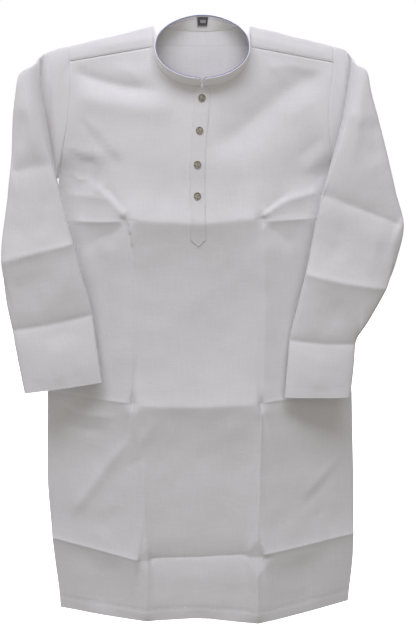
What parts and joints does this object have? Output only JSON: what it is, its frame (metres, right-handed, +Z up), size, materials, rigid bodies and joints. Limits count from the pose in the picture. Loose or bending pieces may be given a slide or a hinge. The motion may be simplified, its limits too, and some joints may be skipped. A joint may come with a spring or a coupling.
{
  "type": "kurta tunic",
  "caption": "Long-sleeved collared cotton tunic with a half placket and side vents, held up by its shoulders, hollow, with open neck, hem and cuffs.",
  "frame": {"origin": "midway between the two places where the shoulders are held, at their height", "axes": "+X to the right as seen from the front, +Y from the front to the back, +Z up along the hanging length"},
  "size_m": [0.7067, 0.1446, 1.0994],
  "materials": {
    "cotton": "matt plain-weave cotton, pressed, with packing creases",
    "button": "smoky pearl, polished",
    "tab": "dark satin-woven label, bare"
  },
  "bodies": {
    "root": {"front_panel": "cotton", "back_panel": "cotton", "yoke": "cotton", "sleeve_left": "cotton", "sleeve_right": "cotton", "collar_band": "cotton", "placket": "cotton", "under_placket": "cotton", "button_1": "button", "button_2": "button", "button_3": "button", "button_4": "button", "neck_tab": "tab"}
  },
  "joints": []
}
